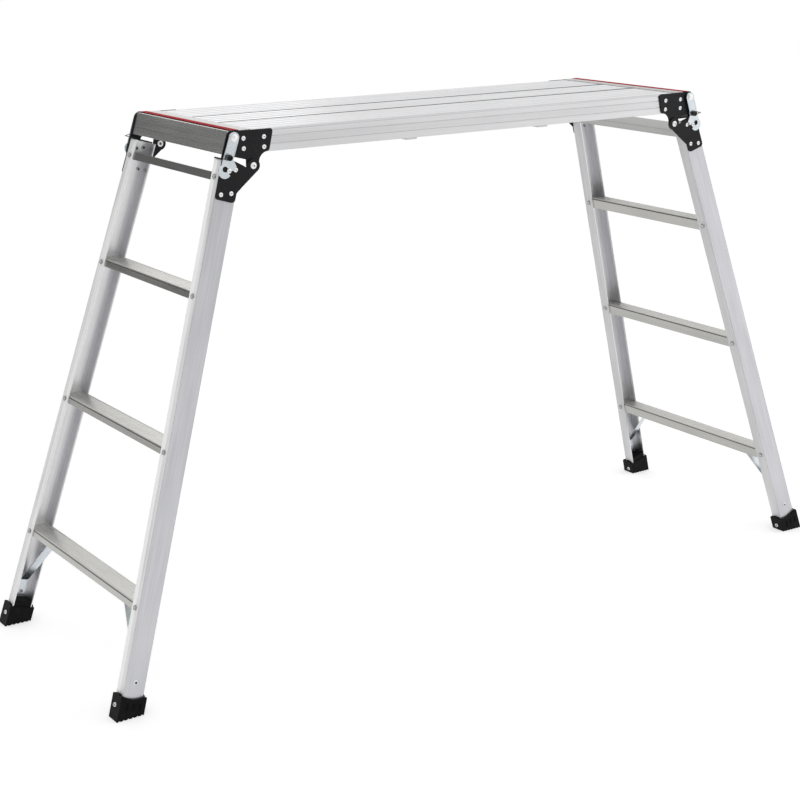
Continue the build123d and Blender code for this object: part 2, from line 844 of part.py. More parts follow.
def spring():
    """Torsion spring round the lever's post, one unbroken wire with a long and a short straight leg."""
    first_turn = -math.pi / 2
    base = lever_face + lever_gap + spring_wire

    def coil(turn):
        angle = first_turn + turn * 2 * math.pi
        x = spring_radius * math.cos(angle)
        z = spring_radius * math.sin(angle) - spring_place
        return Vector(x, -base - turn * spring_pitch, z)

    def coil_way(turn):
        angle = first_turn + turn * 2 * math.pi
        across = 2 * math.pi * spring_radius
        return Vector(-across * math.sin(angle), -spring_pitch, across * math.cos(angle)).normalized()

    marks = [spring_turns * i / spring_arcs for i in range(spring_arcs + 1)]
    start = coil(0) - Vector(spring_long_leg, 0, 0)
    edges = [Line(start, coil(0))]
    way = Vector(1, 0, 0)
    for a, b in zip(marks, marks[1:]):
        edges += biarc(coil(a), way, coil(b), coil_way(b))
        way = coil_way(b)
    edges.append(Line(coil(spring_turns), coil(spring_turns) + way * spring_short_leg))
    path = Wire(edges)
    wire = sweep(Plane(origin=start, z_dir=(1, 0, 0)) * Circle(spring_wire), path=path)
    steps = 200
    samples = [coil(spring_turns * i / steps) for i in range(steps + 1)]
    half_turn = int(steps / spring_turns / 2)
    gaps = [
        (samples[i] - samples[j]).length
        for i in range(len(samples))
        for j in range(i + half_turn, len(samples))
    ]
    print("spring: least gap to itself", round(min(gaps) - 2 * spring_wire, 2), "mm")
    return Pos(-pivot_x - lever_x, 0, pivot_z + lever_z) * Rot(0, lever_lean, 0) * wire


# Nodes: each corner's pieces are mirrored from the near left one
def write(name, solid):
    export_step(solid, f"parts/{name}.step")


def write_ends(name, left):
    write(f"{name}_left", left)
    write(f"{name}_right", mirror(left, about=Plane.YZ))


def write_corners(name, near_left):
    far_left = mirror(near_left, about=Plane.XZ)
    write(f"{name}_left_near", near_left)
    write(f"{name}_left_far", far_left)
    write(f"{name}_right_near", mirror(near_left, about=Plane.YZ))
    write(f"{name}_right_far", mirror(far_left, about=Plane.YZ))


def main():
    os.makedirs("parts", exist_ok=True)
    deck_holes = [place * hole(rivet_shank, grip, hole_fit) for place, grip in deck_rivet_places()]
    right_holes = [mirror(cut, about=Plane.YZ) for cut in deck_holes]
    near_plank = edge_plank()
    beam = end_beam()
    for cut in deck_holes:
        near_plank -= cut
        beam -= cut
        beam -= mirror(cut, about=Plane.XZ)
    for cut in right_holes:
        near_plank -= cut
    write("deck_plank_near", near_plank)
    write("deck_plank_centre", centre_plank())
    write("deck_plank_far", mirror(near_plank, about=Plane.XZ))
    write_ends("end_beam", beam)
    write_ends("edge_strip", edge_strip())
    write_ends("cross_bar", cross_bar())
    write_corners("deck_bracket", deck_bracket())
    write_corners("deck_rivets", deck_rivets())
    write_corners("pivot_pin", pivot_pin())

    cuts = leg_holes()
    both_cuts = cuts + [mirror(cut, about=Plane.XZ) for cut in cuts]
    room = between_webs()
    write_corners("stile", at_leg * stile(cuts))
    for i, height in enumerate(tread_heights()):
        write_ends(f"rung_{i + 1}", at_leg * rung(height, room, both_cuts))
    write_ends("top_bar", at_leg * top_bar(room, both_cuts))
    write_corners("leg_bracket", at_leg * leg_bracket(cuts))
    write_corners("leg_rivets", at_leg * leg_rivets())
    write_corners("brace", at_leg * brace(cuts))
    write_corners("foot", foot(cuts))
    write_corners("lock_lever", lever())
    write_corners("lever_spring", spring())


main()
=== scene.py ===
import json
import math

import bmesh
import bpy
from mathutils import Matrix, Vector


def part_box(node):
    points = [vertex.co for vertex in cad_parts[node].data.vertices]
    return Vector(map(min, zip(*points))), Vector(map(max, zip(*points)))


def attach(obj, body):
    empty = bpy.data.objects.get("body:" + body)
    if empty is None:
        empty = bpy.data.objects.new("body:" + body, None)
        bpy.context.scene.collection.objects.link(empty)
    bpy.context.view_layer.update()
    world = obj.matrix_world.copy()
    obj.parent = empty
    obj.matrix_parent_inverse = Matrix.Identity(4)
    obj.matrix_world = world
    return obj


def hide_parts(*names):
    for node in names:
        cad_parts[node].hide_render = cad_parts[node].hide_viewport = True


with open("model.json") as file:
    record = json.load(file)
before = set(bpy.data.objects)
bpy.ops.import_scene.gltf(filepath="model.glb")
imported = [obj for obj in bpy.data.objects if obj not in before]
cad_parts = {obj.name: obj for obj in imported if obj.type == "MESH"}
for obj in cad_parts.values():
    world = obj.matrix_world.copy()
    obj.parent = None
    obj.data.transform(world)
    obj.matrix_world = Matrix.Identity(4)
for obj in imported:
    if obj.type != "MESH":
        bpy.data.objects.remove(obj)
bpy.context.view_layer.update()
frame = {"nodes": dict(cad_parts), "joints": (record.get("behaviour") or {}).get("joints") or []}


# Deck planks: three extruded aluminium planks side by side, between the end beams.
# Their tops carry groups of fine anti-slip ribs, and the edge planks have a deep side wall.
class Value:
    """A socket of a tree of nodes; sums on it add Math nodes."""

    def __init__(self, nodes, socket):
        self.nodes = nodes
        self.socket = socket

    def math(self, operation, first, second=0.0):
        return self.nodes.node("ShaderNodeMath", {"operation": operation}, {0: first, 1: second})

    def __add__(self, other):
        return self.math("ADD", self, other)

    def __radd__(self, other):
        return self.math("ADD", other, self)

    def __sub__(self, other):
        return self.math("SUBTRACT", self, other)

    def __rsub__(self, other):
        return self.math("SUBTRACT", other, self)

    def __mul__(self, other):
        return self.math("MULTIPLY", self, other)

    def __rmul__(self, other):
        return self.math("MULTIPLY", other, self)

    def __abs__(self):
        return self.math("ABSOLUTE", self)


class Nodes:
    """A tree of nodes, and the one way to add a node to it."""

    def __init__(self, tree):
        self.tree = tree

    def node(self, kind, settings, inputs, output=0):
        made = self.tree.nodes.new(kind)
        for key, value in settings.items():
            setattr(made, key, value)
        for key, value in inputs.items():
            self.put(made.inputs[key], value)
        return Value(self, made.outputs[output])

    def put(self, socket, value):
        if isinstance(value, Value):
            self.tree.links.new(value.socket, socket)
        else:
            socket.default_value = value

    def place(self, source="Object"):
        """The place on the platform in metres, or the way into the room, as three values."""
        spot = self.node("ShaderNodeTexCoord", {}, {}, source)
        parts = self.node("ShaderNodeSeparateXYZ", {}, {0: spot}).socket.node
        return [Value(self, part) for part in parts.outputs]

    def ray(self, kind):
        """1 for one kind of ray, and 0 for all others."""
        return self.node("ShaderNodeLightPath", {}, {}, f"Is {kind} Ray")

    def step(self, value, low, high):
        """0 below low, 1 above high, and a smooth change between them."""
        limits = {"Value": value, "From Min": low, "From Max": high}
        return self.node("ShaderNodeMapRange", {"interpolation_type": "SMOOTHSTEP"}, limits)

    def between(self, value, start, full, fade, end):
        """1 from full to fade, 0 before start and after end."""
        return self.step(value, start, full) * (1 - self.step(value, fade, end))


class Finish(Nodes):
    """The surface of one kind of piece, on one Principled shader."""

    def __init__(self, name):
        self.material = bpy.data.materials.new(name)
        self.material.use_nodes = True
        super().__init__(self.material.node_tree)
        self.shader = self.tree.nodes["Principled BSDF"]

    def noise(self, x, y, z, detail=2.0):
        spot = self.node("ShaderNodeCombineXYZ", {}, {0: x, 1: y, 2: z})
        sizes = {"Vector": spot, "Scale": 1.0, "Detail": detail}
        return self.node("ShaderNodeTexNoise", {}, sizes, "Fac")

    def speckle(self, spots, detail=2.0):
        """Noise that is alike all ways, with so many spots in a metre."""
        x, y, z = self.place()
        return self.noise(x * spots, y * spots, z * spots, detail)

    def blend(self, first, second, share):
        return self.node("ShaderNodeMix", {"data_type": "RGBA"}, {0: share, 6: first, 7: second}, 2)

    def bump(self, height, strength, distance, edge):
        """A rough surface whose sharp edges are eased by a radius."""
        eased = self.node("ShaderNodeBevel", {"samples": 4}, {"Radius": edge})
        relief = {"Strength": strength, "Distance": distance, "Height": height, "Normal": eased}
        return self.node("ShaderNodeBump", {}, relief)

    def set(self, **sockets):
        for key, value in sockets.items():
            self.put(self.shader.inputs[key.replace("_", " ")], value)

    def dress(self, names):
        for name in names:
            for slot in frame["nodes"][name].material_slots:
                slot.material = self.material


def drawn_metal(finish, along, across, up, tone, streak, rough):
    """Extruded metal: fine die lines along its length, and a faint cloudiness."""
    line_fineness = 700
    line_length = 3
    cloud_fineness = 30
    cloud_length = 5
    line_share = 0.55
    line = finish.noise(along * line_length, across * line_fineness, up * line_fineness)
    cloud = finish.noise(along * cloud_length, across * cloud_fineness, up * cloud_fineness)
    share = line * line_share + cloud * (1 - line_share)
    dark = [part * (1 - streak) for part in tone] + [1]
    pale = [part * (1 + streak) for part in tone] + [1]
    colour = finish.blend(dark, pale, finish.step(share, 0.3, 0.7))
    roughness = rough + streak * (line - 0.5) + streak * (cloud - 0.5)
    normal = finish.bump(line, strength=0.12, distance=0.0003, edge=0.0008)
    finish.set(Metallic=1.0, Base_Color=colour, Roughness=roughness, Normal=normal)
    return colour, roughness


class Maker(Nodes):
    """A Geometry Nodes tree with named sizes, which makes one plain mesh at a time."""

    def __init__(self, name):
        super().__init__(bpy.data.node_groups.new(name, "GeometryNodeTree"))
        self.start = self.tree.nodes.new("NodeGroupInput")
        self.end = self.tree.nodes.new("NodeGroupOutput")
        self.tree.interface.new_socket("Made", in_out="OUTPUT", socket_type="NodeSocketGeometry")
        self.sizes = {}

    def size(self, name, kind):
        socket = self.tree.interface.new_socket(name, in_out="INPUT", socket_type="NodeSocket" + kind)
        self.sizes[name] = socket.identifier
        return Value(self, self.start.outputs[name])

    def circle(self, sides, radius):
        sizes = {"Resolution": sides, "Radius": radius}
        return self.node("GeometryNodeCurvePrimitiveCircle", {}, sizes)

    def tube(self, curve, ring, capped):
        parts = {"Curve": curve, "Profile Curve": ring, "Fill Caps": capped}
        return self.node("GeometryNodeCurveToMesh", {}, parts)

    def smooth(self, geometry):
        parts = {"Geometry": geometry, "Shade Smooth": True}
        return self.node("GeometryNodeSetShadeSmooth", {}, parts)

    def paint(self, geometry, material):
        parts = {"Geometry": geometry, "Material": material}
        return self.node("GeometryNodeSetMaterial", {}, parts)

    def finish(self, geometry):
        """Ends the tree with one whole mesh."""
        whole = self.node("GeometryNodeRealizeInstances", {}, {0: geometry})
        self.put(self.end.inputs[0], whole)

    def make(self, name, mesh, sizes):
        piece = bpy.data.objects.new(name, mesh)
        bpy.context.scene.collection.objects.link(piece)
        modifier = piece.modifiers.new("made", "NODES")
        modifier.node_group = self.tree
        for key, value in sizes.items():
            modifier[self.sizes[key]] = value
        graph = bpy.context.evaluated_depsgraph_get()
        made = bpy.data.meshes.new_from_object(
            piece.evaluated_get(graph), preserve_all_data_layers=True, depsgraph=graph
        )
        piece.modifiers.remove(modifier)
        piece.data = made
        return piece


def rib_maker():
    """Rows of round ribs: groups a step apart, each with some ribs a smaller step apart."""
    maker = Maker("ribs")
    first = maker.size("First Rib", "Vector")
    group_step = maker.size("Group Step", "Vector")
    groups = maker.size("Groups", "Int")
    rib_step = maker.size("Rib Step", "Vector")
    ribs = maker.size("Ribs", "Int")
    half = maker.size("Half Length", "Vector")
    radius = maker.size("Radius", "Float")
    material = maker.size("Finish", "Material")
    back = maker.node("ShaderNodeVectorMath", {"operation": "SCALE"}, {0: half, "Scale": -1.0})
    line = maker.node("GeometryNodeCurvePrimitiveLine", {}, {"Start": back, "End": half})
    rib = maker.paint(maker.tube(line, maker.circle(10, radius), True), material)
    row = maker.node("GeometryNodeMeshLine", {}, {"Count": ribs, "Offset": rib_step})
    group = maker.node("GeometryNodeInstanceOnPoints", {}, {"Points": row, "Instance": rib})
    rows_parts = {"Count": groups, "Start Location": first, "Offset": group_step}
    rows = maker.node("GeometryNodeMeshLine", {}, rows_parts)
    made = maker.node("GeometryNodeInstanceOnPoints", {}, {"Points": rows, "Instance": group})
    maker.finish(made)
    return maker


deck_metal = Finish("deck_aluminium")
deck_x, deck_y, deck_z = deck_metal.place()
deck_tone = (0.75, 0.75, 0.76)
drawn = drawn_metal(deck_metal, deck_x, deck_y, deck_z, deck_tone, streak=0.05, rough=0.36)[0]
black = (0, 0, 0, 1)
deck_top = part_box("deck_plank_centre")[1].z
skin_low = deck_top - 0.006
skin_high = deck_top - 0.004
top_skin = deck_metal.step(deck_z, skin_low, skin_high)
band_low = deck_top - 0.036
band_high = deck_top - 0.010
band_blend = 0.008
wall_band = deck_metal.between(
    deck_z, band_low, band_low + band_blend, band_high - band_blend, band_high
)
joint_low = 0.0516
joint_high = 0.0614
joint_blend = 0.0002
joint_floor = deck_top - 0.009
in_joint = deck_metal.between(
    abs(deck_y), joint_low - joint_blend, joint_low, joint_high, joint_high + joint_blend
)
in_joint = in_joint * deck_metal.step(deck_z, joint_floor, joint_floor + 2 * joint_blend)
edge_start = 0.1958
edge_full = 0.1964
edge_low = deck_top - 0.005
edge_high = deck_top - 0.004
on_edge = deck_metal.step(abs(deck_y), edge_start, edge_full)
on_edge = on_edge * deck_metal.step(deck_z, edge_low, edge_high)
# The side wall, a band along its middle, the plank joint grooves and the rounded top edge are painted
# darker: painted shade.
wall_dark = 0.09
band_dark = 0.05
joint_dark = 0.75
edge_dark = 0.25
painted_shade = wall_dark * (1 - top_skin) + band_dark * wall_band
painted_shade = painted_shade + joint_dark * in_joint + edge_dark * on_edge
deck_metal.set(Base_Color=deck_metal.blend(drawn, black, painted_shade))
ribs = rib_maker()
rib_radius = 0.0012
rib_proud = 0.0005
rib_pitch = 0.0045
ribs_in_group = 4
group_pitch = 0.0275
group_width = (ribs_in_group - 1) * rib_pitch
rib_end_gap = 0.004
plank_edge = 0.006
tongue_width = 0.0086
tongues = {"near": (0, tongue_width), "centre": (0, 0), "far": (tongue_width, 0)}
for plank, (near_tongue, far_tongue) in tongues.items():
    low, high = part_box(f"deck_plank_{plank}")
    low.y += near_tongue
    high.y -= far_tongue
    deck_metal.dress([f"deck_plank_{plank}"])
    groups = int((high.y - low.y - 2 * plank_edge - group_width) / group_pitch) + 1
    used = (groups - 1) * group_pitch + group_width
    first_y = (low.y + high.y - used) / 2
    rib_sizes = {
        "First Rib": (0.0, first_y, high.z + rib_proud - rib_radius),
        "Group Step": (0.0, group_pitch, 0.0),
        "Groups": groups,
        "Rib Step": (0.0, rib_pitch, 0.0),
        "Ribs": ribs_in_group,
        "Half Length": (high.x - rib_end_gap, 0.0, 0.0),
        "Radius": rib_radius,
        "Finish": deck_metal.material,
    }
    piece = ribs.make(f"deck_ribs_{plank}", bpy.data.meshes.new("ribs"), rib_sizes)
    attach(piece, "deck")


# End beams: hollow aluminium extrusions across the deck's ends, with a sloping brushed face.
# A ledge along the face's top edge holds the red strip, and the ends are sawn flush.
ends = ("left", "right")
beam_metal = Finish("brushed_end_beam")
beam_x, beam_y, beam_z = beam_metal.place()
beam_tone = (0.72, 0.72, 0.71)
drawn, satin = drawn_metal(beam_metal, beam_y, beam_x, beam_z, beam_tone, streak=0.09, rough=0.26)
# The ledge's top is painted darker, a painted shade, and is also made rougher.
ledge_start = deck_top + 0.0004
ledge_full = deck_top + 0.0008
on_ledge = beam_metal.step(beam_z, ledge_start, ledge_full)
ledge_dark = 0.18
ledge_rough = 0.25
beam_metal.set(
    Base_Color=beam_metal.blend(drawn, black, ledge_dark * on_ledge),
    Roughness=satin + ledge_rough * on_ledge,
)
beam_metal.dress([f"end_beam_{end}" for end in ends])
ledge_gap = 0.0003
ledge_sunk = 0.0005
strip_proud = 0.0008
for end, side in (("left", -1), ("right", 1)):
    beam_low, beam_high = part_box(f"end_beam_{end}")
    strip_low, strip_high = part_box(f"edge_strip_{end}")
    plank_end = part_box("deck_plank_centre")[1].x + ledge_gap
    ledge_end = min(abs(strip_low.x), abs(strip_high.x)) - ledge_gap
    ledge_top = strip_high.z - strip_proud
    ledge_depth = ledge_top - deck_top + ledge_sunk
    ledge_size = Vector((ledge_end - plank_end, beam_high.y - beam_low.y, ledge_depth))
    ledge_middle = Vector((side * (ledge_end + plank_end) / 2, 0, ledge_top - ledge_depth / 2))
    block = bmesh.new()
    placed = Matrix.Translation(ledge_middle) @ Matrix.Diagonal(ledge_size).to_4x4()
    bmesh.ops.create_cube(block, size=1.0, matrix=placed)
    ledge_mesh = bpy.data.meshes.new(f"beam_ledge_{end}")
    block.to_mesh(ledge_mesh)
    block.free()
    ledge_mesh.materials.append(beam_metal.material)
    piece = bpy.data.objects.new(f"beam_ledge_{end}", ledge_mesh)
    bpy.context.scene.collection.objects.link(piece)
    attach(piece, "deck")


# Edge strips: soft red plastic nosings with ridges, pressed into a seat along each end beam.
# The colour is through and through, speckled by the moulding and scuffed on top.
# The side next to the deck is painted paler as a painted sheen, and below the ridges the seat is
# painted dark as a painted shade.
strip_red = Finish("red_edge_plastic")
strip_x, strip_y, strip_z = strip_red.place()
scuff = strip_red.noise(strip_x * 900, strip_y * 300, strip_z * 900, detail=3.0)
fleck = strip_red.noise(strip_x * 90, strip_y * 60, strip_z * 90)
deep_red = (0.42, 0.004, 0.012, 1)
bright_red = (0.74, 0.014, 0.026, 1)
sheen_red = (0.86, 0.13, 0.15, 1)
scuffed_red = (0.62, 0.12, 0.12, 1)
seat_shade_red = (0.03, 0.001, 0.002, 1)
inner_side, outer_side = [corner.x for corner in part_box("edge_strip_right")]
strip_across = (abs(strip_x) - inner_side) * (1 / (outer_side - inner_side))
# The inner side of the strip is painted paler red: a painted sheen.
sheen_full = 0.15
sheen_end = 0.6
painted_sheen = 1 - strip_red.step(strip_across, sheen_full, sheen_end)
mixed = strip_red.blend(deep_red, bright_red, fleck)
mixed = strip_red.blend(mixed, sheen_red, painted_sheen * (0.4 + 0.5 * fleck))
mixed = strip_red.blend(mixed, scuffed_red, strip_red.step(scuff, 0.68, 0.82))
# Below the seat line the strip is painted near black: a painted shade in the gap.
seat_line = 1.1190
ridge_line = 1.1198
above_seat = strip_red.step(strip_z, seat_line, ridge_line)
strip_red.set(
    Base_Color=strip_red.blend(seat_shade_red, mixed, above_seat),
    Roughness=0.42 + 0.25 * scuff,
    Specular_IOR_Level=0.05,
    Normal=strip_red.bump(scuff, strength=0.2, distance=0.0003, edge=0.0005),
)
strip_red.dress([f"edge_strip_{end}" for end in ends])


# Cross bars: two square aluminium tubes under the planks that tie the side walls together.
# They are plain mill finish, duller than the planks because nobody sees them.
bar_metal = Finish("cross_bar_aluminium")
bar_x, bar_y, bar_z = bar_metal.place()
bar_tone = (0.62, 0.62, 0.62)
drawn_metal(bar_metal, bar_y, bar_x, bar_z, bar_tone, streak=0.1, rough=0.45)
bar_metal.dress([f"cross_bar_{end}" for end in ends])


# Hinge brackets: pressed steel plates, powder coated black, on the deck's sides and the stiles.
# The coat has a fine grain and is rubbed grey in small spots.
corners = ("left_near", "left_far", "right_near", "right_far")
plate_black = Finish("black_powder_coat")
grain = plate_black.speckle(1400)
rub = plate_black.speckle(160, detail=6.0)
coat_black = (0.009, 0.009, 0.011, 1)
coat_grey = (0.022, 0.022, 0.026, 1)
plate_black.set(
    Base_Color=plate_black.blend(coat_black, coat_grey, plate_black.step(rub, 0.5, 0.8)),
    Roughness=0.36 + 0.2 * grain,
    Specular_IOR_Level=0.22,
    Normal=plate_black.bump(grain, strength=0.18, distance=0.0003, edge=0.0008),
)
for corner in corners:
    plate_black.dress([f"deck_bracket_{corner}", f"leg_bracket_{corner}"])


# Rivets and pins: bright steel, closed through the plates and the thin channel walls.
# Most heads and tails show the rim, and the socket where the stem broke off is a dark disc of painted
# shade.
# In the stiles' flanges the heads are whole and dull, with a dark ring round them that is a painted
# contact shadow.
def mottled_steel(name, dark, pale, spots, rough, metallic=1.0, detail=2.0):
    """Steel whose tone and gloss change a little from spot to spot."""
    steel = Finish(name)
    mottle = steel.speckle(spots, detail)
    steel.set(
        Metallic=metallic,
        Base_Color=steel.blend((*dark, 1), (*pale, 1), mottle),
        Roughness=rough + 0.2 * mottle,
    )
    return steel


def islands(mesh):
    """The separate shapes in a merged copy of a mesh, each as a list of faces."""
    whole = bmesh.new()
    whole.from_mesh(mesh)
    bmesh.ops.remove_doubles(whole, verts=whole.verts, dist=1e-6)
    left = set(whole.faces)
    found = []
    while left:
        group = [left.pop()]
        for face in group:
            beside = {other for edge in face.edges for other in edge.link_faces}
            group.extend(beside & left)
            left -= beside
        found.append(group)
    return whole, found


def rivet_ends(name):
    """The middle of each rivet's head and tail in a node, the way it looks, and the rivet's radius."""
    whole, found = islands(frame["nodes"][name].data)
    ends_found = []
    for group in found:
        flats = {}
        for face in group:
            way = tuple(round(part, 2) for part in face.normal)
            flats[way] = flats.get(way, 0.0) + face.calc_area()
        back = Vector(max(flats, key=flats.get)).normalized()
        points = [vert.co.copy() for face in group for vert in face.verts]
        top = min(points, key=lambda point: point.dot(back))
        depths = [(point - top).dot(back) for point in points]
        radius = max((point - top - depth * back).length for point, depth in zip(points, depths))
        ends_found.append((top, -back, radius))
        ends_found.append((top + back * max(depths), back, radius))
    whole.free()
    return ends_found


def socket_maker():
    """The rim and the dark socket, a painted shade, in the middle of a rivet's end, at every marked
    point.
    """
    maker = Maker("rivet_sockets")
    points = maker.size("Points", "Geometry")
    rim_radius = maker.size("Rim Radius", "Float")
    rim_wire = maker.size("Rim Wire", "Float")
    socket_rise = maker.size("Socket Rise", "Float")
    bright = maker.size("Rim Finish", "Material")
    dark = maker.size("Socket Finish", "Material")
    rim_sides = 14
    rim = maker.tube(maker.circle(rim_sides, rim_radius), maker.circle(6, rim_wire), False)
    rim = maker.smooth(maker.paint(rim, bright))
    disc_sizes = {"Vertices": rim_sides, "Radius": rim_radius}
    disc = maker.node("GeometryNodeMeshCircle", {"fill_type": "NGON"}, disc_sizes)
    lift = maker.node("ShaderNodeCombineXYZ", {}, {2: socket_rise})
    disc = maker.node("GeometryNodeTransform", {}, {"Geometry": disc, "Translation": lift})
    disc = maker.paint(disc, dark)
    both = maker.node("GeometryNodeJoinGeometry", {}, {0: rim})
    maker.put(both.socket.node.inputs[0], disc)
    vector = {"data_type": "FLOAT_VECTOR"}
    number = {"data_type": "FLOAT"}
    facing = maker.node("GeometryNodeInputNamedAttribute", vector, {"Name": "facing"})
    scale = maker.node("GeometryNodeInputNamedAttribute", number, {"Name": "scale"})
    turn = maker.node("FunctionNodeAlignRotationToVector", {"axis": "Z"}, {"Vector": facing})
    placed = {"Points": points, "Instance": both, "Rotation": turn, "Scale": scale}
    maker.finish(maker.node("GeometryNodeInstanceOnPoints", {}, placed))
    return maker


brace_level = 0.15
flange_facing = 0.8
plain_head_radius = 0.0046
plain_limit = 1.5
wide_socket = 2.6


def in_flange(place, facing):
    """Whether a rivet's end is on a flange of a stile, at a rung."""
    return abs(facing.x) > flange_facing and place.z > brace_level


def end_scale(place, facing, radius):
    """Whole heads on the flanges, wide painted-shade sockets low down and on tails, small ones in the
    plates.
    """
    if in_flange(place, facing):
        return radius / plain_head_radius
    if place.z < brace_level or facing.y * place.y < 0:
        return wide_socket
    return min(radius / plain_head_radius, plain_limit)


pin_steel = mottled_steel(
    "bright_rivet_steel", (0.76, 0.76, 0.76), (0.94, 0.94, 0.93), spots=500, rough=0.3, detail=3.0
)
# The dark socket disc is painted shade standing for the rivet's hole.
socket_shade_steel = mottled_steel(
    "dark_rivet_socket", (0.06, 0.06, 0.06), (0.18, 0.18, 0.18), spots=2000, rough=0.5, metallic=0.7
)
dull_steel = mottled_steel(
    "dull_rivet_head", (0.56, 0.56, 0.56), (0.70, 0.70, 0.70), spots=900, rough=0.5
)
# The dark ring round the flange heads is a painted contact shadow.
ring_shadow_steel = mottled_steel(
    "dark_rivet_ring", (0.26, 0.26, 0.26), (0.40, 0.40, 0.40), spots=900, rough=0.5
)
for corner in corners:
    pin_steel.dress([f"deck_rivets_{corner}", f"leg_rivets_{corner}", f"pivot_pin_{corner}"])
sockets = socket_maker()
socket_sizes = {
    "Rim Radius": 0.0013,
    "Rim Wire": 0.0003,
    "Socket Rise": 0.00012,
    "Rim Finish": pin_steel.material,
    "Socket Finish": socket_shade_steel.material,
}
ring_sizes = {
    "Rim Radius": plain_head_radius,
    "Rim Wire": 0.0008,
    "Socket Rise": 0.0002,
    "Rim Finish": ring_shadow_steel.material,
    "Socket Finish": dull_steel.material,
}
lever_pin_radius = 0.0075
radius_slack = 0.0005
riveted = {
    "deck": [f"{kind}_{corner}" for kind in ("deck_rivets", "pivot_pin") for corner in corners],
    "left_leg": ["leg_rivets_left_near", "leg_rivets_left_far"],
    "right_leg": ["leg_rivets_right_near", "leg_rivets_right_far"],
}
for body, names in riveted.items():
    spots = [spot for name in names for spot in rivet_ends(name)]
    spots = [spot for spot in spots if abs(spot[2] - lever_pin_radius) > radius_slack]
    ringed = [spot for spot in spots if in_flange(*spot[:2])]
    plain = [spot for spot in spots if not in_flange(*spot[:2])]
    for kind, chosen, sizes in (("sockets", plain, socket_sizes), ("rings", ringed, ring_sizes)):
        if not chosen:
            continue
        marks = bpy.data.meshes.new("marks")
        marks.from_pydata([spot[0] for spot in chosen], [], [])
        facing = marks.attributes.new("facing", "FLOAT_VECTOR", "POINT")
        facing.data.foreach_set("vector", [part for spot in chosen for part in spot[1]])
        scale = marks.attributes.new("scale", "FLOAT", "POINT")
        scale.data.foreach_set("value", [end_scale(*spot) for spot in chosen])
        piece = sockets.make(f"rivet_{kind}_{body}", marks, sizes)
        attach(piece, body)


# Stiles: four open aluminium channels, splayed across the platform and leaning out at the ends.
# The web is streaked along its length, and the flanges have a paler band along their free edges, which
# is a painted highlight.
leg_joint = next(joint for joint in frame["joints"] if joint["name"] == "left_leg_fold")
pivot_x = abs(leg_joint["pos_m"][0])
pivot_z = leg_joint["pos_m"][2]
leg_lean = math.radians(17)
leg_splay = math.radians(5.09)
web_at_bend = 0.2033
bend_drop = 0.045
stile_flange = 0.029
stile_middle = -0.0468
stile_half = 0.0225
stile_wall = 0.002


def leg_place(finish):
    """A place in a leg frame: across it, out from the web, and up it; all four corners are alike."""
    x, y, z = finish.place()
    back = pivot_x - abs(x)
    rise = z - pivot_z
    across = back * math.cos(leg_lean) - rise * math.sin(leg_lean)
    up = back * math.sin(leg_lean) + rise * math.cos(leg_lean)
    out = abs(y) - web_at_bend + (up + bend_drop) * math.tan(leg_splay)
    return across, out, up


stile_metal = Finish("stile_aluminium")
stile_across, stile_out, stile_up = leg_place(stile_metal)
stile_tone = (0.80, 0.80, 0.80)
drawn, satin = drawn_metal(
    stile_metal, stile_up, stile_across, stile_out, stile_tone, streak=0.12, rough=0.36
)
face_depth = 0.0004
band_start = 0.013
band_full = 0.016
lip_start = stile_flange - 0.006
inside_line = stile_half - stile_wall
from_middle = abs(stile_across - stile_middle)
from_web = 0 - stile_out
on_flange = stile_metal.step(from_middle, stile_half - 2 * face_depth, stile_half - face_depth)
outer_flange = on_flange * stile_metal.step(stile_middle - stile_across, 0, face_depth)
outer_web = stile_metal.step(stile_out, -2 * face_depth, -face_depth)
inside = (1 - on_flange) * (1 - outer_web)
flange_inside = stile_metal.step(from_middle, inside_line - face_depth, inside_line - face_depth / 2)
lip = stile_metal.step(from_web, lip_start, lip_start + face_depth)
# The pale band on the outer flange and the lip along the free edges are a painted highlight.
painted_highlight = outer_flange * stile_metal.step(from_web, band_start, band_full)
painted_highlight = painted_highlight + lip * (1 - on_flange)
band_rise = from_web - band_start
band_rise = outer_flange * band_rise.math("MAXIMUM", band_rise, 0.0)
# The inner flanges, the outer webs and the channel's inside are painted darker and bluer: painted
# shade.
inner_flange_dark = 0.08
web_dark = 0.26
inside_dark = 0.08
flange_inside_dark = 0.18
painted_shade = inner_flange_dark * on_flange * (1 - outer_flange) + web_dark * outer_web
painted_shade = painted_shade + inside * (inside_dark + flange_inside_dark * flange_inside)
shade_blue = (0, 0, 0.10, 1)
highlight_pale = (0.92, 0.92, 0.92, 1)
highlight_share = 0.85
flange_rough = 0.4
toned = stile_metal.blend(drawn, shade_blue, painted_shade)
stile_metal.set(
    Base_Color=stile_metal.blend(toned, highlight_pale, highlight_share * painted_highlight),
    Roughness=satin + flange_rough * on_flange,
    Normal=stile_metal.bump(band_rise, strength=1.0, distance=0.5, edge=0.0008),
)
stile_metal.dress([f"stile_{corner}" for corner in corners])


